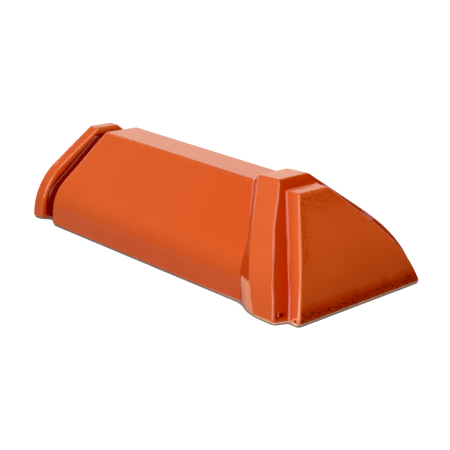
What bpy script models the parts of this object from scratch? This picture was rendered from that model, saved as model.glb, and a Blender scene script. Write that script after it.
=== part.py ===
"""Ridge end cap tile: one pressed and glazed clay body, made as a Blender model.

The tile is a roof-shaped shell, open underneath. Its front end is closed by a hip that leans back at
the same slope as the sides. A raised collar runs over it behind the hip, and its other end is a
spigot: a groove and a rib that slip under the next ridge tile. Metres, +Z up, +Y towards the spigot.
The origin is on the ground, on the tile's centre line and half way along it.
"""
import math
from dataclasses import dataclass, replace

import bmesh
import bpy

MM = 0.001

# Overall sizes
LENGTH = 420 * MM
WALL = 12 * MM
EDGE_ROUND = 2.2 * MM

# Body of the tile, a straight run of one cross-section
CROWN_HALF = 24.4 * MM
CROWN_HEIGHT = 102.6 * MM
BODY_FOOT_HALF = 102.6 * MM
BODY_PITCH = math.radians(39.2)
BODY_SHOULDER = 40 * MM

# Hip that closes the front end, with the narrow band behind it. Its shoulder's arc would only
# stand upright below the ground, at HIP_UPRIGHT_HALF
HIP_UPRIGHT_HALF = 110.8 * MM
HIP_PITCH = math.radians(44.3)
HIP_SHOULDER = 159 * MM
BAND_WIDTH = 17 * MM
BAND_WIDTH_AT_FOOT = 14 * MM

# Raised collar, parallel to the hip, and the ramp from its back down to the body
COLLAR_FRONT = 19.6 * MM
COLLAR_WIDTH = 32.5 * MM
COLLAR_RISE = 8.6 * MM
COLLAR_BACK_RISE = 6.7 * MM
COLLAR_UPRIGHT_HALF = 121.8 * MM
COLLAR_PITCH = math.radians(38.3)
COLLAR_SHOULDER = 123 * MM
RAMP = 12 * MM
RAMP_AT_FOOT = 24.5 * MM
RAMP_TOP = 50 * MM

# Spigot, with its groove and rib
SPIGOT_LENGTH = 38.4 * MM
GROOVE_DEPTH = 10.8 * MM
GROOVE_SIDE_RUN = 3 * MM
RIB_WIDTH = 14.7 * MM
RIB_CROWN_HALF = 16.3 * MM
RIB_HEIGHT = 101.3 * MM
RIB_FOOT_HALF = 100.8 * MM
RIB_PITCH = math.radians(35)
RIB_SHOULDER = 70.5 * MM
THROAT_RUN = 15 * MM

# How far the cavity's cutter reaches past the foot and the spigot's end
CUTTER_REACH = 10 * MM

# Fineness of the faceted solid
SLOPE_ROWS = 2
SHOULDER_ROWS = 14
SLOPE_SHARE = 0.36
ROUND_STEPS = 2
MERGE_DISTANCE = 0.00001

# Glazed terracotta
GLAZE_COLOUR = (0.68, 0.095, 0.016, 1.0)
GLAZE_ROUGHNESS = 0.16


@dataclass(frozen=True)
class Section:
    """Half of a cross-section: flat crown, straight slope, and a shoulder rounded down to the foot."""

    crown_half: float
    height: float
    pitch: float
    shoulder: float
    foot_half: float

    def shoulder_centre(self):
        """Return the centre (x, z) of the shoulder's arc, which touches the slope and an upright foot."""
        x = self.foot_half - self.shoulder
        reach = self.shoulder + math.sin(self.pitch) * (x - self.crown_half)
        return x, self.height - reach / math.cos(self.pitch)

    def half_width(self, z):
        """Return how far the section reaches from the centre line at the height z."""
        centre_x, centre_z = self.shoulder_centre()
        if z >= centre_z + self.shoulder * math.cos(self.pitch):
            return self.crown_half + (self.height - z) / math.tan(self.pitch)
        if z <= centre_z:
            return self.foot_half
        return centre_x + math.sqrt(self.shoulder ** 2 - (z - centre_z) ** 2)

    def inset(self, depth):
        """Return the section that lies inside this one at the same distance all along."""
        return replace(
            self,
            crown_half=self.crown_half - depth * math.tan(self.pitch / 2),
            height=self.height - depth,
            shoulder=self.shoulder - depth,
            foot_half=self.foot_half - depth,
        )

    def rows(self, foot_z=0.0):
        """Return the (x, z) points from the crown's edge down to the foot."""
        slope = [1 - SLOPE_SHARE * i / SLOPE_ROWS for i in range(SLOPE_ROWS)]
        rounded = [(1 - SLOPE_SHARE) * (1 - i / SHOULDER_ROWS) for i in range(SHOULDER_ROWS)]
        points = [(self.half_width(share * self.height), share * self.height) for share in slope + rounded]
        return points + [(self.half_width(0.0), foot_z)]


BODY = Section(CROWN_HALF, CROWN_HEIGHT, BODY_PITCH, BODY_SHOULDER, BODY_FOOT_HALF)
HIP = Section(CROWN_HALF, CROWN_HEIGHT, HIP_PITCH, HIP_SHOULDER, HIP_UPRIGHT_HALF)
COLLAR = Section(CROWN_HALF, CROWN_HEIGHT + COLLAR_RISE, COLLAR_PITCH, COLLAR_SHOULDER, COLLAR_UPRIGHT_HALF)
COLLAR_BACK = replace(COLLAR, height=CROWN_HEIGHT + COLLAR_BACK_RISE)
RIB = Section(RIB_CROWN_HALF, RIB_HEIGHT, RIB_PITCH, RIB_SHOULDER, RIB_FOOT_HALF)
GROOVE = BODY.inset(GROOVE_DEPTH)
SPIGOT_BORE = GROOVE.inset(WALL)

FRONT = -LENGTH / 2
END = LENGTH / 2
BODY_END = END - SPIGOT_LENGTH


def upright(y):
    """Return a station that stands square across the tile at y."""
    return lambda x, z: y


def leaning(offset, at_foot=None, settled=CROWN_HEIGHT):
    """Return a station that leans as the hip does, a given way behind it.

    With at_foot, that way runs evenly from at_foot at the ground to offset at the height settled.
    """

    def place(x, z):
        hip_y = FRONT + HIP.half_width(0.0) - HIP.half_width(z)
        if at_foot is None:
            return hip_y + offset
        share = max(0.0, min(1.0, z / settled))
        return hip_y + at_foot + (offset - at_foot) * share

    return place


def mitred(x, z):
    """Return the y at which the hip meets the sides: a line at 45 degrees in plan."""
    return FRONT + HIP.half_width(0.0) - x


def ring(mesh, section, station, foot_z=0.0):
    """Add one station's points, from the left foot over the crown to the right foot, and return them."""
    half = section.rows(foot_z)
    left = [mesh.verts.new((-x, station(x, z), z)) for x, z in reversed(half)]
    right = [mesh.verts.new((x, station(x, z), z)) for x, z in half]
    return left + right


def edge_between(first, second):
    """Return the edge that joins two points."""
    return next(edge for edge in first.link_edges if edge.other_vert(first) is second)


def lofted(name, stations, rounding):
    """Make a closed solid from its stations, hip first, and round the edges along and across it."""
    mesh = bmesh.new()
    rings = [ring(mesh, *station) for station in stations]
    count = len(rings[0])
    for near, far in zip(rings, rings[1:]):
        for i in range(count - 1):
            mesh.faces.new((near[i], near[i + 1], far[i + 1], far[i]))
    hip = rings[0]
    for i in range(count // 2 - 1):
        mesh.faces.new((hip[i], hip[count - 1 - i], hip[count - 2 - i], hip[i + 1]))
    mesh.faces.new(rings[-1])
    foot = [points[0] for points in rings] + [points[-1] for points in reversed(rings)]
    mesh.faces.new(foot)
    if rounding:
        crown = count // 2 - 1
        edges = {edge_between(a, b) for points in rings for a, b in zip(points, points[1:])}
        edges |= {edge_between(a, b) for a, b in zip(foot, foot[1:] + foot[:1])}
        edges |= {edge_between(a[i], b[i]) for a, b in zip(rings, rings[1:]) for i in (crown, crown + 1)}
        bmesh.ops.bevel(
            mesh,
            geom=list(edges),
            offset=rounding,
            offset_type="OFFSET",
            segments=ROUND_STEPS,
            profile=0.5,
            affect="EDGES",
            clamp_overlap=True,
        )
        bmesh.ops.remove_doubles(mesh, verts=mesh.verts, dist=MERGE_DISTANCE)
    bmesh.ops.recalc_face_normals(mesh, faces=mesh.faces)
    data = bpy.data.meshes.new(name)
    mesh.to_mesh(data)
    mesh.free()
    solid = bpy.data.objects.new(name, data)
    bpy.context.scene.collection.objects.link(solid)
    return solid


def outer_form():
    """Make the tile's outside as one solid block."""
    collar_back = COLLAR_FRONT + COLLAR_WIDTH
    groove_front = BODY_END + GROOVE_SIDE_RUN
    rib_front = END - RIB_WIDTH
    return lofted(
        "ridge_end_tile",
        [
            (HIP, mitred),
            (HIP, leaning(BAND_WIDTH, BAND_WIDTH_AT_FOOT)),
            (COLLAR, leaning(COLLAR_FRONT)),
            (COLLAR_BACK, leaning(collar_back)),
            (BODY, leaning(collar_back + RAMP, collar_back + RAMP_AT_FOOT, RAMP_TOP)),
            (BODY, upright(BODY_END)),
            (GROOVE, upright(groove_front)),
            (GROOVE, upright(rib_front - GROOVE_SIDE_RUN)),
            (RIB, upright(rib_front)),
            (RIB, upright(END)),
        ],
        EDGE_ROUND,
    )


def cavity_form():
    """Make the cutter for the hollow under the tile, open at the foot and at the spigot."""
    hollow_hip = HIP.inset(WALL)
    hollow_body = BODY.inset(WALL)
    throat = BODY_END - WALL
    below = -CUTTER_REACH
    cavity = lofted(
        "cavity_cutter",
        [
            (hollow_hip, mitred, below),
            (hollow_hip, leaning(COLLAR_FRONT + WALL), below),
            (hollow_body, leaning(COLLAR_FRONT + COLLAR_WIDTH + WALL), below),
            (hollow_body, upright(throat - THROAT_RUN), below),
            (SPIGOT_BORE, upright(throat), below),
            (SPIGOT_BORE, upright(END + CUTTER_REACH), below),
        ],
        0.0,
    )
    cavity.hide_render = True
    cavity.display_type = "WIRE"
    return cavity


def glazed_terracotta():
    """Return the tile's orange glaze."""
    material = bpy.data.materials.new("orange_glazed_terracotta")
    material.use_nodes = True
    shader = next(node for node in material.node_tree.nodes if node.type == "BSDF_PRINCIPLED")
    shader.inputs["Base Color"].default_value = GLAZE_COLOUR
    shader.inputs["Roughness"].default_value = GLAZE_ROUGHNESS
    shader.inputs["Metallic"].default_value = 0.0
    return material


def main():
    """Build the tile in an empty scene."""
    for old in list(bpy.data.objects):
        bpy.data.objects.remove(old, do_unlink=True)
    tile = outer_form()
    cut = tile.modifiers.new("hollow", "BOOLEAN")
    cut.operation = "DIFFERENCE"
    cut.object = cavity_form()
    tile.data.materials.append(glazed_terracotta())
    tile.data.shade_smooth()
    tile.data.set_sharp_from_angle(angle=math.radians(30))


main()
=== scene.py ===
"""Ridge end cap tile, dressed for the picture: one pressed clay body under a glossy orange glaze.

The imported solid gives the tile's place and size. This script models the same body with fine rows,
rounded arrises, a hollowed ramp behind the collar and the small faults of the glaze, and dresses it
in glaze outside and bare fired clay underneath. Metres, +Z up, +Y towards the spigot.
"""
import logging
import math
from collections.abc import Callable
from dataclasses import dataclass, field, replace
from enum import Enum

import bmesh
import bpy
from mathutils import Matrix, Vector


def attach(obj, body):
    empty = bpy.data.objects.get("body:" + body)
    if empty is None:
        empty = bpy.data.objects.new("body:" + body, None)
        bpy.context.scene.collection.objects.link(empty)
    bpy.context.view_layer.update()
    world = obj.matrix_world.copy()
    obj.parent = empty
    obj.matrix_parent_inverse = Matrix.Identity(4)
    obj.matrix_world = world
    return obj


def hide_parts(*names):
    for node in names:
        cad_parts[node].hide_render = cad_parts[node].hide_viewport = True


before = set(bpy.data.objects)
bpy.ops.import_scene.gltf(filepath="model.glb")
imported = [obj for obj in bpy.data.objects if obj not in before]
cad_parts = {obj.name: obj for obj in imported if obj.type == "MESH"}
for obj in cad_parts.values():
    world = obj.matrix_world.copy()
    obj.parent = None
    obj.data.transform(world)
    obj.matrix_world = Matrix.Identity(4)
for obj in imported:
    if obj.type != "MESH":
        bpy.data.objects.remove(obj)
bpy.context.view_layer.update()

MM = 0.001
log = logging.getLogger("ridge_end_tile")

Point = tuple[float, float, float]
Placing = Callable[[float, float], float]


def linear(hex_colour: str) -> tuple[float, float, float, float]:
    """Turn an sRGB colour into the linear one that a shader takes.

    Args:
        hex_colour: six hexadecimal digits after a hash sign.

    Returns:
        Linear red, green and blue, with an alpha of one.
    """
    parts = [int(hex_colour[i : i + 2], 16) / 255 for i in (1, 3, 5)]
    red, green, blue = (p / 12.92 if p <= 0.04045 else ((p + 0.055) / 1.055) ** 2.4 for p in parts)
    return red, green, blue, 1.0


def add_node(
    tree: bpy.types.NodeTree, kind: str, inputs: dict[str | int, object] | None = None, **settings: object
) -> bpy.types.Node:
    """Add a shader node, set it up and link it.

    Args:
        tree: the node tree to add it to.
        kind: the node's Blender type name, without the words ShaderNode.
        inputs: its inputs by name or number. Each is a value, an output, or a node for its first output.
        settings: the node's own options.

    Returns:
        The new node.
    """
    node = tree.nodes.new(f"ShaderNode{kind}")
    for name, value in settings.items():
        setattr(node, name, value)
    for name, value in (inputs or {}).items():
        source = value.outputs[0] if isinstance(value, bpy.types.Node) else value
        if isinstance(source, bpy.types.NodeSocket):
            tree.links.new(source, node.inputs[name])
        else:
            node.inputs[name].default_value = source
    return node


def empty_material(name: str) -> bpy.types.Material:
    """Return a new material with no nodes in it.

    Args:
        name: the material's name.

    Returns:
        The material.
    """
    material = bpy.data.materials.new(name)
    material.use_nodes = True
    material.node_tree.nodes.clear()
    return material


def share_between(value: float, start: float, stop: float) -> float:
    """Return how far a value has come from start to stop, from nought to one."""
    return max(0.0, min(1.0, (value - start) / (stop - start)))


@dataclass(frozen=True)
class Section:
    """Half of a cross-section: flat crown, straight slope, and a shoulder rounded down to the foot."""

    crown_half: float
    height: float
    pitch: float
    shoulder: float
    foot_half: float

    def shoulder_centre(self) -> tuple[float, float]:
        """Return the centre (x, z) of the shoulder's arc, which touches the slope and an upright foot."""
        x = self.foot_half - self.shoulder
        reach = self.shoulder + math.sin(self.pitch) * (x - self.crown_half)
        return x, self.height - reach / math.cos(self.pitch)

    def half_width(self, z: float) -> float:
        """Return how far the section reaches from the centre line at a height.

        Args:
            z: height above the ground.

        Returns:
            Half of the section's width there.
        """
        centre_x, centre_z = self.shoulder_centre()
        if z >= centre_z + self.shoulder * math.cos(self.pitch):
            return self.crown_half + (self.height - z) / math.tan(self.pitch)
        if z <= centre_z:
            return self.foot_half
        return centre_x + math.sqrt(self.shoulder**2 - (z - centre_z) ** 2)

    def inset(self, depth: float) -> "Section":
        """Return the section that lies inside this one.

        Args:
            depth: the same distance all along.

        Returns:
            The smaller section.
        """
        return replace(
            self,
            crown_half=self.crown_half - depth * math.tan(self.pitch / 2),
            height=self.height - depth,
            shoulder=self.shoulder - depth,
            foot_half=self.foot_half - depth,
        )

    def mixed(self, other: "Section", share: float) -> "Section":
        """Return a section part of the way to another one.

        Args:
            other: the section at a share of one.
            share: how far towards it, from nought to one.

        Returns:
            The section between them.
        """
        names = ("crown_half", "height", "pitch", "shoulder", "foot_half")
        return Section(*(getattr(self, n) * (1 - share) + getattr(other, n) * share for n in names))


class Arris(Enum):
    """How far an edge of the tile is rounded, as a share of the rounding at the foot."""

    FOOT = 1.0
    ROUNDED = 0.5
    EASED = 0.3
    FLOWING = 0.0


@dataclass(frozen=True)
class Station:
    """One ring of the tile: a section, the way that it lies along the tile, and its small waves."""

    section: Section
    place: Placing
    arris: Arris = Arris.ROUNDED
    foot_z: float = 0.0
    waves: tuple[tuple[float, float], ...] = ()

    def wave(self, x: float, z: float) -> float:
        """Return how far the ring strays along the tile, where the press left its edge uneven.

        Args:
            x: the point's place across the tile. The right side strays half as far, the other way.
            z: the point's height.

        Returns:
            The shift along the tile.
        """
        for (low, near), (high, far) in zip(self.waves, self.waves[1:]):
            if low <= z <= high:
                share = (1 - math.cos(math.pi * (z - low) / (high - low))) / 2
                shift = near + (far - near) * share
                return shift if x < 0 else -shift / 2
        return 0.0

    def at(self, x: float, z: float) -> Point:
        """Return the ring's point at the place x across the tile and the height z."""
        return x, self.place(abs(x), z) + self.wave(x, z), z


@dataclass
class PressedBlock:
    """A solid block modelled station by station from the hip to the spigot."""

    name: str
    stations: list[Station]
    rounding: float
    round_steps: int
    slope_rows: int = 14
    shoulder_rows: int = 22
    slope_share: float = 0.36
    foot_row: float = 5.5 * MM
    soft_foot: float = 30 * MM
    # Size of the first circle and of each ring's step, before their points are laid in place
    circle_radius: float = 100 * MM
    ring_step: float = 10 * MM
    merge_distance: float = 0.01 * MM
    rings: list[list[int]] = field(default_factory=list)

    def ring_points(self, station: Station) -> list[Point]:
        """Give one station's points, from the left foot over the crown to the right foot.

        Args:
            station: the station to set out.

        Returns:
            Its points in order.
        """
        section = station.section
        rows = self.slope_rows
        levels = [section.height * (1 - self.slope_share * i / rows) for i in range(rows)]
        span = section.height * (1 - self.slope_share) - self.foot_row
        rows = self.shoulder_rows
        levels += [self.foot_row + span * (1 - i / rows) for i in range(rows + 1)]
        half = [(section.half_width(z), z) for z in levels] + [(section.half_width(0.0), station.foot_z)]
        left = [station.at(-x, z) for x, z in reversed(half)]
        return left + [station.at(x, z) for x, z in half]

    def lay(self, block: bpy.types.Object, ring: list[int], points: list[Point]) -> None:
        """Put one ring's vertices at their places.

        Args:
            block: the object in edit mode.
            ring: the vertices' numbers.
            points: their places.
        """
        mesh = bmesh.from_edit_mesh(block.data)
        mesh.verts.ensure_lookup_table()
        for number, point in zip(ring, points):
            mesh.verts[number].co = point
        bmesh.update_edit_mesh(block.data)

    def choose(self, block: bpy.types.Object, pairs: set[frozenset[int]]) -> None:
        """Select only the edges between the given pairs of vertices.

        Args:
            block: the object in edit mode.
            pairs: the two vertex numbers of each edge.
        """
        bpy.ops.mesh.select_all(action="DESELECT")
        mesh = bmesh.from_edit_mesh(block.data)
        for edge in mesh.edges:
            if frozenset(v.index for v in edge.verts) in pairs:
                edge.select_set(True)
        bmesh.update_edit_mesh(block.data)

    def around(self, ring: list[int], closed: bool = True) -> set[frozenset[int]]:
        """Return the edges of one ring.

        Args:
            ring: the ring's vertex numbers in order.
            closed: whether the edge across the foot counts too.

        Returns:
            The two vertex numbers of each edge.
        """
        pairs = {frozenset(pair) for pair in zip(ring, ring[1:])}
        return pairs | {frozenset((ring[0], ring[-1]))} if closed else pairs

    def extrude_ring(self, block: bpy.types.Object) -> None:
        """Extrude the last ring into a new one, and keep the new ring's vertex numbers in order."""
        last = self.rings[-1]
        self.choose(block, self.around(last))
        bpy.ops.mesh.extrude_region_move(TRANSFORM_OT_translate={"value": (0.0, self.ring_step, 0.0)})
        mesh = bmesh.from_edit_mesh(block.data)
        mesh.verts.ensure_lookup_table()
        mesh.verts.index_update()
        follows = {}
        for vert in mesh.verts:
            if vert.select:
                linked = {edge.other_vert(vert).index for edge in vert.link_edges}
                follows[linked.intersection(last).pop()] = vert.index
        self.rings.append([follows[number] for number in last])

    def build(self) -> bpy.types.Object:
        """Model the block: a circle laid as the first ring, extruded ring by ring, closed and rounded.

        Returns:
            The finished block.
        """
        first = self.ring_points(self.stations[0])
        bpy.ops.object.select_all(action="DESELECT")
        bpy.ops.mesh.primitive_circle_add(vertices=len(first), radius=self.circle_radius, enter_editmode=True)
        block = bpy.context.object
        block.name = self.name
        bpy.ops.mesh.select_mode(type="EDGE")
        self.rings = [list(range(len(first)))]
        self.lay(block, self.rings[0], first)
        for station in self.stations[1:]:
            self.extrude_ring(block)
            self.lay(block, self.rings[-1], self.ring_points(station))
        self.close_ends(block)
        self.weigh_arrises(block)
        bpy.ops.object.mode_set(mode="OBJECT")
        rounded = block.modifiers.new("rounded_arrises", "BEVEL")
        rounded.limit_method = "WEIGHT"
        rounded.width = self.rounding
        rounded.segments = self.round_steps
        rounded.use_clamp_overlap = False
        bpy.ops.object.modifier_apply(modifier=rounded.name)
        bpy.ops.object.mode_set(mode="EDIT")
        bpy.ops.mesh.select_all(action="SELECT")
        bpy.ops.mesh.remove_doubles(threshold=self.merge_distance)
        bpy.ops.mesh.normals_make_consistent(inside=False)
        bpy.ops.object.mode_set(mode="OBJECT")
        return block

    def close_ends(self, block: bpy.types.Object) -> None:
        """Bridge the hip's two mitres, fill the spigot's end and make the foot one face."""
        hip = self.rings[0]
        middle = len(hip) // 2
        self.choose(block, self.around(hip[:middle], False) | self.around(hip[middle:], False))
        bpy.ops.mesh.bridge_edge_loops()
        self.choose(block, self.around(self.rings[-1]))
        bpy.ops.mesh.edge_face_add()
        self.choose(block, {frozenset((ring[0], ring[-1])) for ring in self.rings[1:-1]})
        bpy.ops.mesh.dissolve_edges(use_verts=False)

    def weigh_arrises(self, block: bpy.types.Object) -> None:
        """Say how far each edge is to be rounded: the rings, the crown's two lines and the foot."""
        middle = len(self.rings[0]) // 2
        weights = {}
        for station, ring in zip(self.stations, self.rings):
            weights |= dict.fromkeys(self.around(ring, False), station.arris.value)
        for near, far in zip(self.rings, self.rings[1:]):
            crown = [frozenset((near[i], far[i])) for i in (middle - 1, middle)]
            weights |= dict.fromkeys(crown, Arris.ROUNDED.value)
            foot = [frozenset((near[i], far[i])) for i in (0, len(near) - 1)]
            weights |= dict.fromkeys(foot, Arris.FOOT.value)
        weights |= self.softened_mitres()
        weights[frozenset((self.rings[0][0], self.rings[0][-1]))] = Arris.FOOT.value
        weights[frozenset((self.rings[-1][0], self.rings[-1][-1]))] = Arris.ROUNDED.value
        mesh = bmesh.from_edit_mesh(block.data)
        layer = mesh.edges.layers.float.new("bevel_weight_edge")
        for edge in mesh.edges:
            edge[layer] = weights.get(frozenset(v.index for v in edge.verts), 0.0)
        bmesh.update_edit_mesh(block.data)

    def softened_mitres(self) -> dict[frozenset[int], float]:
        """Return the rounding of the first ring's lowest edges, which grows towards the foot."""
        ring = self.rings[0]
        last = len(ring) - 1
        levels = [point[2] for point in self.ring_points(self.stations[0])]
        weights = {}
        for i in range(len(ring) // 2 - 1):
            share = max(0.0, 1 - (levels[i] + levels[i + 1]) / 2 / self.soft_foot)
            weight = Arris.ROUNDED.value + (Arris.FOOT.value - Arris.ROUNDED.value) * share
            weights[frozenset((ring[i], ring[i + 1]))] = weight
            weights[frozenset((ring[last - i], ring[last - i - 1]))] = weight
        return weights


class BlobForm(Enum):
    """Shapes that a blob of glaze takes."""

    BEAD = "bead"
    DROP = "drop"
    RING = "ring"


@dataclass(frozen=True)
class GlazeBlob:
    """A bead, a run or the rim of a burst bubble, where the glaze stands proud of the body."""

    name: str
    form: BlobForm
    centre: Point
    half_size: Point
    turn: float = 0.0
    lean: float = 0.0
    # A drop is drawn out in this many steps, above these shares of its half height, down to this width
    draw_heights: tuple[float, ...] = (-0.1, 0.3, 0.6)
    taper: float = 0.42
    # A ring's rim is this thick, as a share of the ring's half size
    rim: float = 0.26
    ring_segments: tuple[int, int] = (28, 10)
    bead_segments: tuple[int, int] = (20, 14)

    def build(self) -> bpy.types.Object:
        """Model the blob, half sunk where it sits.

        Returns:
            The blob.
        """
        bpy.ops.object.select_all(action="DESELECT")
        if self.form is BlobForm.RING:
            bpy.ops.mesh.primitive_torus_add(
                major_segments=self.ring_segments[0],
                minor_segments=self.ring_segments[1],
                major_radius=1 - self.rim,
                minor_radius=self.rim,
                rotation=(math.pi / 2, 0.0, 0.0),
            )
            bpy.ops.object.transform_apply(location=False, rotation=True, scale=False)
        else:
            around, upward = self.bead_segments
            bpy.ops.mesh.primitive_uv_sphere_add(segments=around, ring_count=upward, radius=1.0)
        blob = bpy.context.object
        blob.name = self.name
        if self.form is BlobForm.DROP:
            self.draw_out(blob)
        blob.scale = self.half_size
        bpy.ops.object.transform_apply(location=False, rotation=False, scale=True)
        blob.rotation_euler = (self.lean, 0.0, self.turn)
        blob.location = self.centre
        bpy.ops.object.transform_apply(location=True, rotation=True, scale=False)
        return blob

    def draw_out(self, blob: bpy.types.Object) -> None:
        """Draw the upper end of a drop out into the tail of its run."""
        narrower = self.taper ** (1 / len(self.draw_heights))
        bpy.ops.object.mode_set(mode="EDIT")
        for height in self.draw_heights:
            bpy.ops.mesh.select_all(action="DESELECT")
            mesh = bmesh.from_edit_mesh(blob.data)
            for vert in mesh.verts:
                vert.select_set(vert.co.z > height)
            mesh.select_flush_mode()
            bmesh.update_edit_mesh(blob.data)
            bpy.ops.transform.resize(value=(narrower, narrower, 1.0), center_override=(0.0, 0.0, 0.0))
        bpy.ops.object.mode_set(mode="OBJECT")


class Combining(Enum):
    """Ways to combine another block with the tile."""

    CUT = "DIFFERENCE"
    GROW = "UNION"


def combine(tile: bpy.types.Object, block: bpy.types.Object, combining: Combining) -> None:
    """Combine a block with the tile and take the block away. Its finish stays on the faces it leaves.

    Args:
        tile: the tile.
        block: the block.
        combining: whether the block is cut out of the tile or grown into it.
    """
    bpy.ops.object.select_all(action="DESELECT")
    bpy.context.view_layer.objects.active = tile
    tile.select_set(True)
    change = tile.modifiers.new(block.name, "BOOLEAN")
    change.operation = combining.value
    change.solver = "EXACT"
    change.material_mode = "TRANSFER"
    change.object = block
    bpy.ops.object.modifier_apply(modifier=change.name)
    bpy.data.objects.remove(block, do_unlink=True)


@dataclass
class RidgeEndTile:
    """The tile's pressed body, with its hip, collar, ramp, spigot and the hollow under it."""

    length: float = 420 * MM
    wall: float = 12 * MM
    foot_round: float = 4.4 * MM
    foot_round_steps: int = 4
    body: Section = Section(24.4 * MM, 102.6 * MM, math.radians(39.2), 40 * MM, 102.6 * MM)
    hip: Section = Section(24.4 * MM, 102.6 * MM, math.radians(44.3), 159 * MM, 110.8 * MM)
    collar: Section = Section(24.4 * MM, 111.2 * MM, math.radians(38.3), 123 * MM, 121.8 * MM)
    collar_drop: float = 1.9 * MM
    rib: Section = Section(16.3 * MM, 101.3 * MM, math.radians(35), 70.5 * MM, 100.8 * MM)
    band_width: float = 17 * MM
    band_width_at_foot: float = 14 * MM
    collar_front: float = 19.6 * MM
    collar_width: float = 32.5 * MM
    # The collar's back edge comes forward by so much at the foot, from this height down
    collar_taper: float = 8 * MM
    taper_top: float = 34 * MM
    ramp: float = 12 * MM
    ramp_at_foot: float = 28 * MM
    ramp_top: float = 50 * MM
    spigot_length: float = 38.4 * MM
    groove_depth: float = 10.8 * MM
    groove_side_run: float = 3 * MM
    rib_width: float = 14.7 * MM
    throat_run: float = 15 * MM
    cutter_reach: float = 10 * MM
    hollow_round: float = 5 * MM
    hollow_round_steps: int = 3
    rim_round: float = 1.2 * MM
    rim_round_steps: int = 3
    # Rims are eased where they turn by more than this, within this reach of the foot or the spigot's end
    sharp_rim: float = math.radians(50)
    rim_reach: float = 0.02 * MM
    # The tile stands on the faces that lie this low and look down by more than this
    foot_reach: float = 1 * MM
    foot_look: float = 0.9
    # The ramp's rings lie at these shares of its run, and it sinks faster at first, by this power
    ramp_shares: tuple[float, ...] = (0.0, 0.32, 0.5, 0.66, 0.82, 1.0)
    ramp_sink: float = 1.3
    # The ramp has painted shade below the first height, fully so at the next, and a painted reflection under
    # the last, where it fades in over a way down. Its marks lie between these shares of the ramp, and fade at
    # its foot
    ramp_dark_top: float = 60 * MM
    ramp_dark_full: float = 46 * MM
    ramp_reflection_top: float = 33 * MM
    reflection_fade: float = 7 * MM
    ramp_marks: tuple[float, float] = (0.06, 0.97)
    ramp_marks_fade: float = 0.2
    # How strong the painted shade is in a concave crease, on the collar's front step and on the ramp, and how
    # little of it still counts as none
    crease_shade: float = 0.6
    step_shade: float = 0.85
    ramp_shade: float = 0.6
    little_shade: float = 0.1
    # The step lies between these ways behind the hip, and takes its painted shade where it looks towards the
    # hip between these shares
    step_place: tuple[float, float] = (14 * MM, 24 * MM)
    step_look: tuple[float, float] = (0.15, 0.5)
    # The painted shade deepens over this way into the groove
    groove_fade: tuple[float, float] = (0.8 * MM, 2.8 * MM)
    # Two faces that turn by this much make a whole arris, and one is seen from this share of it
    full_turn: float = math.radians(18)
    arris_start: float = 0.3
    # How strong the painted highlight is on a bubble's rim, the painted sheen all over the band and collar,
    # and the paleness on a whole arris elsewhere, which is thinner glaze and a painted highlight
    bubble_rim_highlight: float = 0.5
    raised_sheen: float = 0.4
    other_arris_paling: float = 0.6
    # The hip's own face ends, and the band starts, this far behind its slope
    hip_skin: float = 1.2 * MM
    band_start: float = 0.5 * MM
    # The collar's front edge strays along the tile by so much at these heights
    collar_waves: tuple[tuple[float, float], ...] = (
        (0.0, -0.5 * MM),
        (8 * MM, 0.3 * MM),
        (20 * MM, -0.4 * MM),
        (38 * MM, 0.3 * MM),
        (50 * MM, 0.3 * MM),
        (66 * MM, -1.1 * MM),
        (78 * MM, 0.6 * MM),
        (90 * MM, 0.2 * MM),
        (98 * MM, -0.6 * MM),
        (111.2 * MM, 0.0),
    )

    # Marks that the glaze left, each half sunk in the body
    blobs: tuple[GlazeBlob, ...] = (
        GlazeBlob(
            "glaze_drop",
            BlobForm.DROP,
            (-111.1 * MM, -188.9 * MM, 9.2 * MM),
            (1.3 * MM, 1.3 * MM, 3.9 * MM),
            math.radians(-19),
        ),
        GlazeBlob(
            "burst_bubble_rim",
            BlobForm.RING,
            (-101.9 * MM, -203.7 * MM, 4.6 * MM),
            (5.2 * MM, 3.8 * MM, 3.7 * MM),
            math.radians(-90),
            math.radians(-4),
        ),
        GlazeBlob(
            "glaze_pip",
            BlobForm.BEAD,
            (-65.5 * MM, -154.6 * MM, 63.1 * MM),
            (1.2 * MM, 1.2 * MM, 1.2 * MM),
        ),
    )

    @property
    def front(self) -> float:
        """Return the y of the hip's foot."""
        return -self.length / 2

    @property
    def end(self) -> float:
        """Return the y of the spigot's end."""
        return self.length / 2

    def upright(self, y: float) -> Placing:
        """Return the placing of a ring that stands square across the tile at y."""
        return lambda x, z: y

    def leaning(self, offset: float, at_foot: float | None = None, settled: float = 0.0) -> Placing:
        """Return the placing of a ring that leans as the hip does, a given way behind it.

        Args:
            offset: the way behind the hip.
            at_foot: the way at the ground, where it differs.
            settled: the height at which the way has come to offset.

        Returns:
            The placing.
        """

        def place(x: float, z: float) -> float:
            """Return the ring's y at half width x and height z."""
            hip_y = self.front + self.hip.half_width(0.0) - self.hip.half_width(z)
            if at_foot is None or settled == 0.0:
                return hip_y + offset
            return hip_y + at_foot + (offset - at_foot) * share_between(z, 0.0, settled)

        return place

    def mitred(self, x: float, z: float) -> float:
        """Return the y at which the hip meets the sides: a line at 45 degrees in plan."""
        return self.front + self.hip.half_width(0.0) - x

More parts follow.
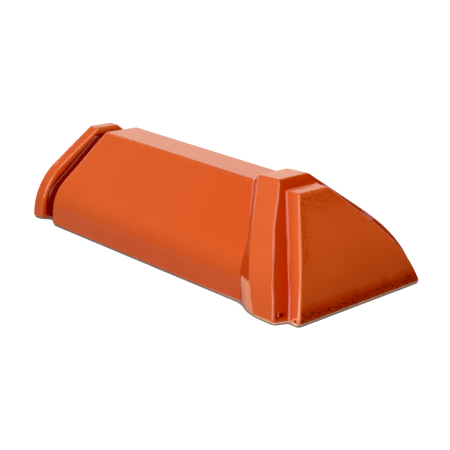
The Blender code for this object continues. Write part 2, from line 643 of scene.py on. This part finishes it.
    def outside(self) -> PressedBlock:
        """Set out the stations of the tile's outside."""
        body_end = self.end - self.spigot_length
        collar_back = self.collar_front + self.collar_width
        groove = self.body.inset(self.groove_depth)
        rib_front = self.end - self.rib_width
        back = replace(self.collar, height=self.collar.height - self.collar_drop)
        return PressedBlock(
            "pressed_glazed_tile",
            [
                Station(self.hip, self.mitred),
                Station(self.hip, self.leaning(self.band_width, self.band_width_at_foot, self.hip.height)),
                Station(self.collar, self.leaning(self.collar_front), waves=self.collar_waves),
                *[self.ramp_station(back, collar_back, share) for share in self.ramp_shares],
                Station(self.body, self.upright(body_end)),
                Station(groove, self.upright(body_end + self.groove_side_run)),
                Station(groove, self.upright(rib_front - self.groove_side_run)),
                Station(self.rib, self.upright(rib_front)),
                Station(self.rib, self.upright(self.end)),
            ],
            self.foot_round,
            self.foot_round_steps,
        )

    def ramp_station(self, back: Section, start: float, share: float) -> Station:
        """Set out one ring of the hollowed ramp that runs from the collar's back down to the body.

        Args:
            back: the collar's section at its back.
            start: the way of the collar's back edge behind the hip.
            share: how far down the ramp the ring lies, from nought to one.

        Returns:
            The ring's station.
        """
        sunk = 1 - (1 - share) ** self.ramp_sink
        place = self.leaning(start + self.ramp * share, start + self.ramp_at_foot * share, self.ramp_top)
        if share == 0.0:
            place = self.leaning(start, start - self.collar_taper, self.taper_top)
        arris = {0.0: Arris.ROUNDED, 1.0: Arris.EASED}.get(share, Arris.FLOWING)
        return Station(back.mixed(self.body, sunk), place, arris)

    def hollow(self) -> PressedBlock:
        """Set out the stations of the cutter for the hollow, open at the foot and at the spigot."""
        hollow_hip = self.hip.inset(self.wall)
        hollow_body = self.body.inset(self.wall)
        bore = self.body.inset(self.groove_depth + self.wall)
        throat = self.end - self.spigot_length - self.wall
        below = -self.cutter_reach
        after_collar = self.collar_front + self.collar_width + self.wall
        return PressedBlock(
            "hollow_cutter",
            [
                Station(hollow_hip, self.mitred, foot_z=below),
                Station(hollow_hip, self.leaning(self.collar_front + self.wall), foot_z=below),
                Station(hollow_body, self.leaning(after_collar), foot_z=below),
                Station(hollow_body, self.upright(throat - self.throat_run), foot_z=below),
                Station(bore, self.upright(throat), foot_z=below),
                Station(bore, self.upright(self.end + self.cutter_reach), foot_z=below),
            ],
            self.hollow_round,
            self.hollow_round_steps,
        )

    def build(self, glaze: bpy.types.Material, clay: bpy.types.Material) -> bpy.types.Object:
        """Model the tile: the outside block, hollowed out, with its rims eased and its finishes on.

        Args:
            glaze: the finish of the outside.
            clay: the finish of the hollow and of the foot that the tile stands on.

        Returns:
            The finished tile.
        """
        tile = self.outside().build()
        cutter = self.hollow().build()
        tile.data.materials.append(glaze)
        cutter.data.materials.append(clay)
        combine(tile, cutter, Combining.CUT)
        self.ease_rims(tile)
        self.bare_the_foot(tile)
        for form in self.blobs:
            blob = form.build()
            blob.data.materials.append(glaze)
            combine(tile, blob, Combining.GROW)
        bpy.ops.object.shade_smooth()
        even = tile.modifiers.new("even_shading", "WEIGHTED_NORMAL")
        bpy.ops.object.modifier_apply(modifier=even.name)
        self.mark_painted_light(tile)
        return tile

    def behind_hip(self, y: float, z: float) -> float:
        """Return how far a point lies behind the hip's slope, along the tile."""
        return y - self.front - self.hip.half_width(0.0) + self.hip.half_width(max(0.0, z))

    def down_ramp(self, behind: float, z: float) -> float:
        """Return how far down the ramp behind the collar a point lies.

        Args:
            behind: how far the point lies behind the hip's slope.
            z: its height.

        Returns:
            Nought at the collar's back edge and one at the ramp's foot.
        """
        taper = self.collar_taper * (1 - share_between(z, 0.0, self.taper_top))
        run = self.ramp_at_foot + (self.ramp - self.ramp_at_foot) * share_between(z, 0.0, self.ramp_top)
        return (behind - self.collar_front - self.collar_width + taper) / (run + taper)

    def on_bubble_rim(self, place: Vector) -> bool:
        """Return whether a point lies on the rim of a burst bubble."""
        rims = [blob for blob in self.blobs if blob.form is BlobForm.RING]
        return any((place - Vector(rim.centre)).length < max(rim.half_size) for rim in rims)

    def shade_and_highlight_at(self, vert: bmesh.types.BMVert) -> dict[str, float]:
        """Say how much painted shade, highlight and reflection the glaze carries at one point of the tile.

        Args:
            vert: the point.

        Returns:
            How much painted shade, paleness from thinner glaze and painted highlight, and painted reflection
            it carries, and whether the point is on the hip, from nought to one each.
        """
        _, y, z = vert.co
        behind = self.behind_hip(y, z)
        turns = [edge.calc_face_angle_signed(0.0) for edge in vert.link_edges]
        turn = max(turns, key=abs) / self.full_turn
        # Painted shade in concave creases
        shade_amount = self.crease_shade * max(0.0, -turn)
        # Painted shade on the collar's front step, where it faces the hip
        if self.step_place[0] < behind < self.step_place[1]:
            shade_amount = max(shade_amount, self.step_shade * share_between(-vert.normal.y, *self.step_look))
        reflection_amount = 0.0
        down_ramp = self.down_ramp(behind, z)
        first, last = self.ramp_marks
        if first < down_ramp < last:
            # Painted shade on the ramp's upper part
            shade_amount = max(shade_amount, self.ramp_shade * share_between(z, self.ramp_dark_top, self.ramp_dark_full))
            # Painted reflection on the ramp's lower part, which takes the place of its painted shade
            reflection_top = self.ramp_reflection_top
            reflection_amount = share_between(z, reflection_top, reflection_top - self.reflection_fade)
            reflection_amount = min(reflection_amount, share_between(down_ramp, last, last - self.ramp_marks_fade))
            shade_amount *= 1 - reflection_amount
        into_groove = min(y - self.end + self.spigot_length, self.end - self.rib_width - y)
        # Painted shade deepening into the groove
        shade_amount += share_between(into_groove, *self.groove_fade)
        # A painted highlight on a burst bubble's rim
        if turn > self.arris_start and self.on_bubble_rim(vert.co):
            reflection_amount = self.bubble_rim_highlight
        # Paler arrises, from thinner glaze and a painted highlight
        pale_amount = share_between(turn, self.arris_start, 1.0)
        collar_back = self.collar_front + self.collar_width
        # A painted sheen over the band and collar, away from the painted shade
        if self.band_start < behind < collar_back and shade_amount < self.little_shade:
            pale_amount = max(pale_amount, self.raised_sheen)
        else:
            pale_amount *= self.other_arris_paling
        on_hip = float(behind < self.hip_skin)
        return {"painted_shade": min(1.0, shade_amount), "thin_glaze_and_highlight": pale_amount, "painted_reflection": reflection_amount, "hip_face": on_hip}

    def mark_painted_light(self, tile: bpy.types.Object) -> None:
        """Keep on the tile's points the painted shade, highlight and reflection that the glaze carries there,
        for its material to read.

        Args:
            tile: the tile.
        """
        mesh = bmesh.new()
        mesh.from_mesh(tile.data)
        points = [self.shade_and_highlight_at(vert) for vert in mesh.verts]
        mesh.free()
        for name in points[0]:
            values = [point[name] for point in points]
            tile.data.attributes.new(name, "FLOAT", "POINT").data.foreach_set("value", values)

    def ease_rims(self, tile: bpy.types.Object) -> None:
        """Ease the sharp rims that the hollow leaves at the foot and round the spigot's mouth."""
        bpy.ops.object.mode_set(mode="EDIT")
        bpy.ops.mesh.select_mode(type="EDGE")
        bpy.ops.mesh.select_all(action="DESELECT")
        mesh = bmesh.from_edit_mesh(tile.data)
        for edge in mesh.edges:
            at_foot = all(abs(v.co.z) < self.rim_reach for v in edge.verts)
            at_end = all(abs(v.co.y - self.end) < self.rim_reach for v in edge.verts)
            if (at_foot or at_end) and edge.calc_face_angle(0.0) > self.sharp_rim:
                edge.select_set(True)
        bmesh.update_edit_mesh(tile.data)
        bpy.ops.mesh.bevel(offset=self.rim_round, segments=self.rim_round_steps, clamp_overlap=True)
        bpy.ops.object.mode_set(mode="OBJECT")

    def bare_the_foot(self, tile: bpy.types.Object) -> None:
        """Leave the faces that the tile stands on in bare clay, as they lay on the kiln shelf."""
        for face in tile.data.polygons:
            if face.normal.z < -self.foot_look and face.center.z < self.foot_reach:
                face.material_index = 1


@dataclass(frozen=True)
class OrangeGlaze:
    """Glossy orange lead-free glaze on terracotta, dipped and fired.

    It gives the eye an even, saturated orange under a hard wet-looking gloss with a faint orange-peel
    surface. Painted shade turns it a deep red in creases, the groove, on the collar's step, the ramp, the hip
    and low down; over an arris it is paler, from thinner glaze and a painted highlight, and it carries a
    painted sheen on the band and collar and painted reflections on the ramp's foot and the foot's lip.
    """

    colour: str = "#DB6138"
    # Other colours laid over it in turn, each with the step of the recipe that says how much: painted shade,
    # the deepest painted shade, mostly in the groove, paler glaze with a painted highlight on an arris and a
    # painted sheen on the band and collar, painted reflections on the ramp's foot with a painted highlight at
    # the body's end, and a painted reflection on the lip of the foot
    coats: tuple[tuple[str, str], ...] = (
        ("shade_share", "#BE3C20"),
        ("darkest_shade_share", "#761A08"),
        ("pale_and_highlight_share", "#EE8C5E"),
        ("painted_reflections", "#F69A76"),
        ("lip_reflection", "#FFC4A6"),
    )
    refraction: float = 1.5
    marks: tuple[str, ...] = ("painted_shade", "thin_glaze_and_highlight", "painted_reflection", "hip_face")
    # Size of each pattern's lumps along X, Y and Z, and how many finer layers it has: sags of the pressed
    # clay, orange peel, runs down the sides, grain, the ragged edges of marks, and the streaks of the ramp's
    # painted reflection. The real grain is under half a millimetre, and is drawn coarser so that it shows
    patterns: tuple[tuple[str, Point, float], ...] = (
        ("sag", (55 * MM, 55 * MM, 55 * MM), 2.0),
        ("peel", (4 * MM, 4 * MM, 4 * MM), 2.0),
        ("runs", (5 * MM, 5 * MM, 90 * MM), 2.0),
        ("grain", (1.8 * MM, 1.8 * MM, 1.8 * MM), 4.0),
        ("lumps", (9 * MM, 9 * MM, 9 * MM), 3.0),
        ("streaks", (3 * MM, 3 * MM, 16 * MM), 2.0),
    )
    # Half the hip's width at some heights, from the foot to the top
    hip_outline: tuple[tuple[float, float], ...] = (
        (0.0, 103.2 * MM),
        (30 * MM, 89.9 * MM),
        (65 * MM, 62.8 * MM),
        (103 * MM, 24.4 * MM),
    )
    # The steps that mix the marks and the patterns. Each has its name, what it does and its terms, which
    # are numbers or steps before it. SPAN says how far its first term has come from the second to the
    # third, smoothly, and the others are Blender's own sums
    recipe: tuple[tuple[str | float, ...], ...] = (
        # A band of painted shade along the hip's foot, with a ragged upper edge and speckled with grain
        ("ragged_grain", "MULTIPLY_ADD", "grain", 9 * MM, "height"),
        ("ragged", "MULTIPLY_ADD", "lumps", 9 * MM, "ragged_grain"),
        ("band", "SPAN", "ragged", 34 * MM, 19 * MM),
        ("band_grain", "SPAN", "grain", 0.36, 0.6),
        ("speckle", "MULTIPLY_ADD", "band_grain", 0.18, 0.79),
        ("hip_speckle", "MULTIPLY", "hip_face", "speckle"),
        ("foot_shade_band", "MULTIPLY", "band", "hip_speckle"),
        # A grainy patch 30 mm wide along the hip's left mitre and top, clear of the arris itself
        ("half_width", "MULTIPLY", "outline", 103.2 * MM),
        ("from_mitre", "ADD", "half_width", "across"),
        ("from_top", "SUBTRACT", 103 * MM, "height"),
        ("margin", "MINIMUM", "from_mitre", "from_top"),
        ("off_arris", "SPAN", "margin", 0.5 * MM, 5 * MM),
        ("ragged_margin", "MULTIPLY_ADD", "lumps", 14 * MM, "margin"),
        ("patch_width", "SPAN", "ragged_margin", 37 * MM, 7 * MM),
        ("patch_grain", "SPAN", "grain", 0.38, 0.62),
        ("patch_height", "SPAN", "height", 28 * MM, 62 * MM),
        ("patch_spots", "MULTIPLY", "patch_grain", "patch_height"),
        ("hip_spots", "MULTIPLY", "patch_spots", "hip_face"),
        ("whole_patch", "MULTIPLY", "patch_width", "hip_spots"),
        ("patch", "MULTIPLY", "whole_patch", "off_arris"),
        # It is a little darker in clouds of its own uneven tone, with painted shade over the whole hip and
        # low down
        ("sag_share", "SPAN", "sag", 0.4, 0.75),
        ("clouds", "MULTIPLY", "sag_share", 0.1),
        ("hip_shade_and_clouds", "MULTIPLY_ADD", "hip_face", 0.14, "clouds"),
        ("low_down", "SPAN", "height", 42 * MM, 14 * MM),
        ("shade_and_clouds", "MULTIPLY_ADD", "low_down", 0.13, "hip_shade_and_clouds"),
        # How dark it is in all: the painted shade, the grain patch and the clouds
        ("painted_shade_marks", "MAXIMUM", "painted_shade", "foot_shade_band"),
        ("patch_depth", "MULTIPLY", "patch", 0.9),
        ("marked", "MAXIMUM", "painted_shade_marks", "patch_depth"),
        ("depth", "MAXIMUM", "marked", "shade_and_clouds"),
        ("shade_share", "DIVIDE", "depth", 0.85),
        ("darkest_shade_share", "SPAN", "depth", 0.85, 1.0),
        # It is paler over the arrises, from thinner glaze and a painted highlight, with a painted sheen over
        # the band and collar, and least so on the hip; the sharpest arrises get a brighter painted highlight
        ("paling_strength", "MULTIPLY_ADD", "hip_face", -0.2, 0.36),
        ("over_arris", "MULTIPLY", "paling_strength", "thin_glaze_and_highlight"),
        ("brightest_highlight", "SPAN", "thin_glaze_and_highlight", 0.6, 0.9),
        ("pale_and_highlight_share", "MULTIPLY_ADD", "brightest_highlight", 0.5, "over_arris"),
        # It has a streaked painted reflection at the ramp's foot, and a painted highlight line on the arris
        # at the body's end
        ("reflection_streaks", "MULTIPLY_ADD", "streaks", 0.7, "painted_reflection"),
        ("reflection_streak_share", "SPAN", "reflection_streaks", 0.72, 0.98),
        ("ramp_reflection", "MULTIPLY", "reflection_streak_share", 0.9),
        ("before_end", "SPAN", "along", 169.0 * MM, 170.4 * MM),
        ("past_end", "SPAN", "along", 173.0 * MM, 171.6 * MM),
        ("end_height", "SPAN", "height", 34 * MM, 46 * MM),
        ("end_line", "MULTIPLY", "before_end", "past_end"),
        ("end_upper_line", "MULTIPLY", "end_line", "end_height"),
        ("end_highlight", "MULTIPLY", "end_upper_line", 0.75),
        ("painted_reflections", "MAXIMUM", "ramp_reflection", "end_highlight"),
        # A painted reflection of the floor on the rounded lip of the foot, most of all round the hip
        ("lip_edge", "MULTIPLY_ADD", "lumps", 1.4 * MM, "height"),
        ("lip_height", "SPAN", "lip_edge", 4.5 * MM, 3.3 * MM),
        ("round_hip", "SPAN", "along", -60 * MM, -130 * MM),
        ("lip_strength", "MULTIPLY_ADD", "round_hip", 0.7, 0.3),
        ("lip_reflection", "MULTIPLY", "lip_height", "lip_strength"),
        # The surface's relief in millimetres, with grit where the glaze is grainy
        ("grainy", "MAXIMUM", "foot_shade_band", "patch"),
        ("sag_relief", "MULTIPLY", "sag", 0.3),
        ("peel_relief", "MULTIPLY_ADD", "peel", 0.012, "sag_relief"),
        ("run_relief", "MULTIPLY_ADD", "runs", 0.13, "peel_relief"),
        ("grit", "MULTIPLY", "grain", "grainy"),
        ("relief", "MULTIPLY_ADD", "grit", 0.03, "run_relief"),
        # Its roughness: the grain, the lip under its painted reflection and the groove, where the painted
        # shade is deepest, are duller
        ("grain_gloss", "MULTIPLY_ADD", "grainy", 0.08, 0.045),
        ("peel_gloss", "MULTIPLY_ADD", "peel", 0.03, "grain_gloss"),
        ("lip_gloss", "MULTIPLY_ADD", "lip_reflection", 0.3, "peel_gloss"),
        ("groove", "SPAN", "painted_shade", 0.87, 1.0),
        ("gloss", "MULTIPLY_ADD", "groove", 0.32, "lip_gloss"),
    )

    def outline(self, tree: bpy.types.NodeTree, height: bpy.types.NodeSocket) -> bpy.types.Node:
        """Add the curve of the hip's half width over its height, both as shares of their largest.

        Args:
            tree: the material's node tree.
            height: the height on the tile.

        Returns:
            The curve's node.
        """
        tallest = self.hip_outline[-1][0]
        widest = self.hip_outline[0][1]
        share = add_node(tree, "Math", {0: height, 1: tallest}, operation="DIVIDE")
        node = add_node(tree, "FloatCurve", {"Value": share})
        curve = node.mapping.curves[0]
        places = [(z / tallest, half / widest) for z, half in self.hip_outline]
        curve.points[0].location = places[0]
        curve.points[1].location = places[-1]
        for place in places[1:-1]:
            curve.points.new(*place)
        node.mapping.update()
        return node

    def build(self) -> bpy.types.Material:
        """Make the glaze's material.

        Returns:
            The material.
        """
        material = empty_material("orange_glaze_on_terracotta")
        tree = material.node_tree
        place = add_node(tree, "TexCoord").outputs["Object"]
        axes = add_node(tree, "SeparateXYZ", {"Vector": place}).outputs
        steps = {"across": axes["X"], "along": axes["Y"], "height": axes["Z"]}
        for name in self.marks:
            steps[name] = add_node(tree, "Attribute", attribute_name=name).outputs["Fac"]
        for name, size, detail in self.patterns:
            scale = tuple(1 / part for part in size)
            stretched = add_node(tree, "Mapping", {"Vector": place, "Scale": scale})
            steps[name] = add_node(tree, "TexNoise", {"Vector": stretched, "Scale": 1.0, "Detail": detail})
        steps["outline"] = self.outline(tree, steps["height"])
        for name, operation, *terms in self.recipe:
            values = [steps.get(term, term) for term in terms]
            if operation == "SPAN":
                inputs = dict(zip(("Value", "From Min", "From Max"), values))
                steps[name] = add_node(tree, "MapRange", inputs, interpolation_type="SMOOTHSTEP")
            else:
                steps[name] = add_node(tree, "Math", dict(enumerate(values)), operation=operation)
        coat = linear(self.colour)
        for name, over in self.coats:
            mixed = add_node(tree, "Mix", {0: steps[name], 6: coat, 7: linear(over)}, data_type="RGBA")
            coat = mixed.outputs[2]
        bump = add_node(tree, "Bump", {"Height": steps["relief"], "Strength": 1.0, "Distance": MM})
        finish = {"Base Color": coat, "Roughness": steps["gloss"], "IOR": self.refraction, "Normal": bump}
        shader = add_node(tree, "BsdfPrincipled", finish)
        add_node(tree, "OutputMaterial", {"Surface": shader})
        return material


@dataclass(frozen=True)
class BareClay:
    """Unglazed terracotta as it comes from the press and the kiln: matt, sandy and a little uneven.

    It gives the eye a dry brick red that clouds to an ashy tan. The real grit is finer than half a
    millimetre, and is drawn coarser so that it shows.
    """

    colour: str = "#B5633C"
    ashy: str = "#C98560"
    roughness: float = 0.88
    grit: float = 1.6 * MM
    grit_height: float = 0.4 * MM
    cloud: float = 40 * MM

    def build(self) -> bpy.types.Material:
        """Make the clay's material.

        Returns:
            The material.
        """
        material = empty_material("bare_fired_terracotta")
        tree = material.node_tree
        place = add_node(tree, "TexCoord").outputs["Object"]
        cloud = add_node(tree, "TexNoise", {"Vector": place, "Scale": 1 / self.cloud, "Detail": 6.0})
        tones = {0: cloud, 6: linear(self.colour), 7: linear(self.ashy)}
        colour = add_node(tree, "Mix", tones, data_type="RGBA").outputs[2]
        grit = add_node(tree, "TexNoise", {"Vector": place, "Scale": 1 / self.grit, "Detail": 4.0})
        bump = add_node(tree, "Bump", {"Height": grit, "Strength": 0.4, "Distance": self.grit_height})
        finish = {"Base Color": colour, "Roughness": self.roughness, "Normal": bump}
        shader = add_node(tree, "BsdfPrincipled", finish)
        add_node(tree, "OutputMaterial", {"Surface": shader})
        return material


@dataclass(frozen=True)
class PhotoCamera:
    """The photograph's camera, solved from the tile's outline."""

    place: Point = (-0.92615, -0.85321, 0.44358)
    turn: float = math.radians(47.655)
    dip: float = math.radians(18.242)
    roll: float = math.radians(4.112)
    lens: float = 93.416

    def build(self) -> None:
        """Add the camera and make it the scene's own."""
        turn, dip, roll = self.turn, self.dip, self.roll
        ahead = Vector((math.sin(turn) * math.cos(dip), math.cos(turn) * math.cos(dip), -math.sin(dip)))
        level = Vector((math.cos(turn), -math.sin(turn), 0.0))
        above = level.cross(ahead)
        side = math.cos(roll) * level + math.sin(roll) * above
        up = -math.sin(roll) * level + math.cos(roll) * above
        data = bpy.data.cameras.new("photo_camera")
        data.lens = self.lens
        data.sensor_width = 36.0
        data.clip_start = 0.05
        camera = bpy.data.objects.new("photo_camera", data)
        axes = Matrix((side, up, -ahead)).transposed()
        camera.matrix_world = Matrix.Translation(self.place) @ axes.to_4x4()
        bpy.context.scene.collection.objects.link(camera)
        bpy.context.scene.camera = camera


@dataclass(frozen=True)
class Softbox:
    """One large soft light, aimed at the tile."""

    name: str
    place: Point
    size: tuple[float, float]
    power: float
    colour: str = "#FFFFFF"
    aim: Point = (0.0, 0.0, 0.05)

    def build(self) -> None:
        """Add the light."""
        data = bpy.data.lights.new(self.name, "AREA")
        data.shape = "RECTANGLE"
        data.size, data.size_y = self.size
        data.energy = self.power
        data.color = linear(self.colour)[:3]
        light = bpy.data.objects.new(self.name, data)
        light.location = self.place
        away = Vector(self.place) - Vector(self.aim)
        light.rotation_euler = away.to_track_quat("Z", "Y").to_euler()
        bpy.context.scene.collection.objects.link(light)


@dataclass(frozen=True)
class Studio:
    """A white floor and soft lights round it."""

    floor_size: float = 12.0
    # The floor's colour near the tile and far off, with the ways at which each is reached. The tile is
    # about twice as long as it is wide, so ways along it count for less
    near_floor: str = "#AAAAAA"
    far_floor: str = "#505050"
    near_reach: float = 0.17
    far_reach: float = 0.50
    tile_form: Point = (1.0, 0.55, 1.0)
    # How brightly it burns out in the picture, near and far, and where the gap under the foot stays dark as a
    # painted contact shadow
    near_glow: float = 0.88
    far_glow: float = 1.0
    contact_reach: float = 12 * MM
    gap_dark: float = 0.34
    gap_open: float = 0.55
    # Strength of the light from overhead and from the horizon, which fades out at this height
    sky: float = 0.05
    horizon: float = 0.15
    horizon_top: float = 0.5
    # Darkest level that the photograph keeps
    black_point: float = 0.022
    lights: tuple[Softbox, ...] = (
        Softbox("key_softbox", (-2.1, -0.30, 1.25), (1.7, 1.7), 34.5),
        Softbox("front_strip", (-1.25, -1.15, 1.55), (0.6, 2.2), 13.0),
        Softbox("overhead_panel", (0.0, -0.3, 2.3), (1.7, 2.0), 27.0, "#FFFEEC"),
        Softbox("white_backdrop", (2.0, 1.9, 0.75), (2.8, 1.6), 13.6, "#FFFEEC"),
        Softbox("back_panel", (0.35, 2.2, 1.35), (1.4, 0.7), 7.0),
        Softbox("rim_strip", (2.3, 0.05, 0.62), (0.5, 0.8), 2.0),
    )

    def floor_material(self) -> bpy.types.Material:
        """Make the floor: a pale table whose picture is burnt out to white, as the photograph's is.

        Returns:
            The material.
        """
        material = empty_material("white_paper_floor")
        tree = material.node_tree
        place = add_node(tree, "TexCoord").outputs["Object"]
        round_tile = add_node(tree, "VectorMath", {0: place, 1: self.tile_form}, operation="MULTIPLY")
        away = add_node(tree, "VectorMath", {0: round_tile}, operation="LENGTH").outputs["Value"]
        reach = {"Value": away, "From Min": self.near_reach, "From Max": self.far_reach}
        far = add_node(tree, "MapRange", reach)
        tones = {0: far, 6: linear(self.near_floor), 7: linear(self.far_floor)}
        grey = add_node(tree, "Mix", tones, data_type="RGBA").outputs[2]
        paper = add_node(tree, "BsdfDiffuse", {"Color": grey})
        # The paper burns out everywhere but in the narrow gap under the tile's rounded foot, where its
        # ambient occlusion paints a dark contact shadow
        gap = add_node(tree, "AmbientOcclusion", {"Distance": self.contact_reach}, samples=8).outputs["AO"]
        open_range = {"Value": gap, "From Min": self.gap_dark, "From Max": self.gap_open}
        open_sky = add_node(tree, "MapRange", open_range)
        glow_range = {"Value": far, "To Min": self.near_glow, "To Max": self.far_glow}
        level = add_node(tree, "MapRange", glow_range)
        glow = add_node(tree, "Math", {0: open_sky, 1: level}, operation="MULTIPLY")
        seen = add_node(tree, "LightPath").outputs["Is Camera Ray"]
        burnt = add_node(tree, "Math", {0: seen, 1: glow}, operation="MULTIPLY")
        shine = add_node(tree, "Emission", {"Strength": burnt})
        both = add_node(tree, "AddShader", {0: paper, 1: shine})
        add_node(tree, "OutputMaterial", {"Surface": both})
        return material

    def build(self) -> None:
        """Add the floor, the lights and the dim surroundings."""
        bpy.ops.object.select_all(action="DESELECT")
        bpy.ops.mesh.primitive_plane_add(size=self.floor_size)
        floor = bpy.context.object
        floor.name = "studio_floor"
        floor.data.materials.append(self.floor_material())
        for light in self.lights:
            light.build()
        world = bpy.data.worlds.new("dim_studio")
        world.use_nodes = True
        tree = world.node_tree
        background = next(node for node in tree.nodes if node.type == "BACKGROUND")
        background.inputs["Color"].default_value = (1.0, 1.0, 1.0, 1.0)
        direction = add_node(tree, "TexCoord").outputs["Generated"]
        height = add_node(tree, "SeparateXYZ", {"Vector": direction}).outputs["Z"]
        fade = {"Value": height, "From Max": self.horizon_top, "To Min": self.horizon, "To Max": self.sky}
        wall = add_node(tree, "MapRange", fade, interpolation_type="SMOOTHSTEP")
        tree.links.new(wall.outputs["Result"], background.inputs["Strength"])
        bpy.context.scene.world = world
        look = bpy.context.scene.view_settings
        look.view_transform = "Standard"
        look.use_curve_mapping = True
        look.curve_mapping.black_level = (self.black_point,) * 3
        look.curve_mapping.update()


def main() -> None:
    """Build the camera, the tile and the studio, and log the tile's face count."""
    logging.basicConfig(level=logging.INFO, format="%(name)s: %(message)s")
    PhotoCamera().build()
    glaze = OrangeGlaze().build()
    clay = BareClay().build()
    tile = RidgeEndTile().build(glaze, clay)
    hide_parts("ridge_end_tile")
    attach(tile, "root")
    log.info("%s: %d faces", tile.name, len(tile.data.polygons))
    Studio().build()


if __name__ == "__main__":
    main()
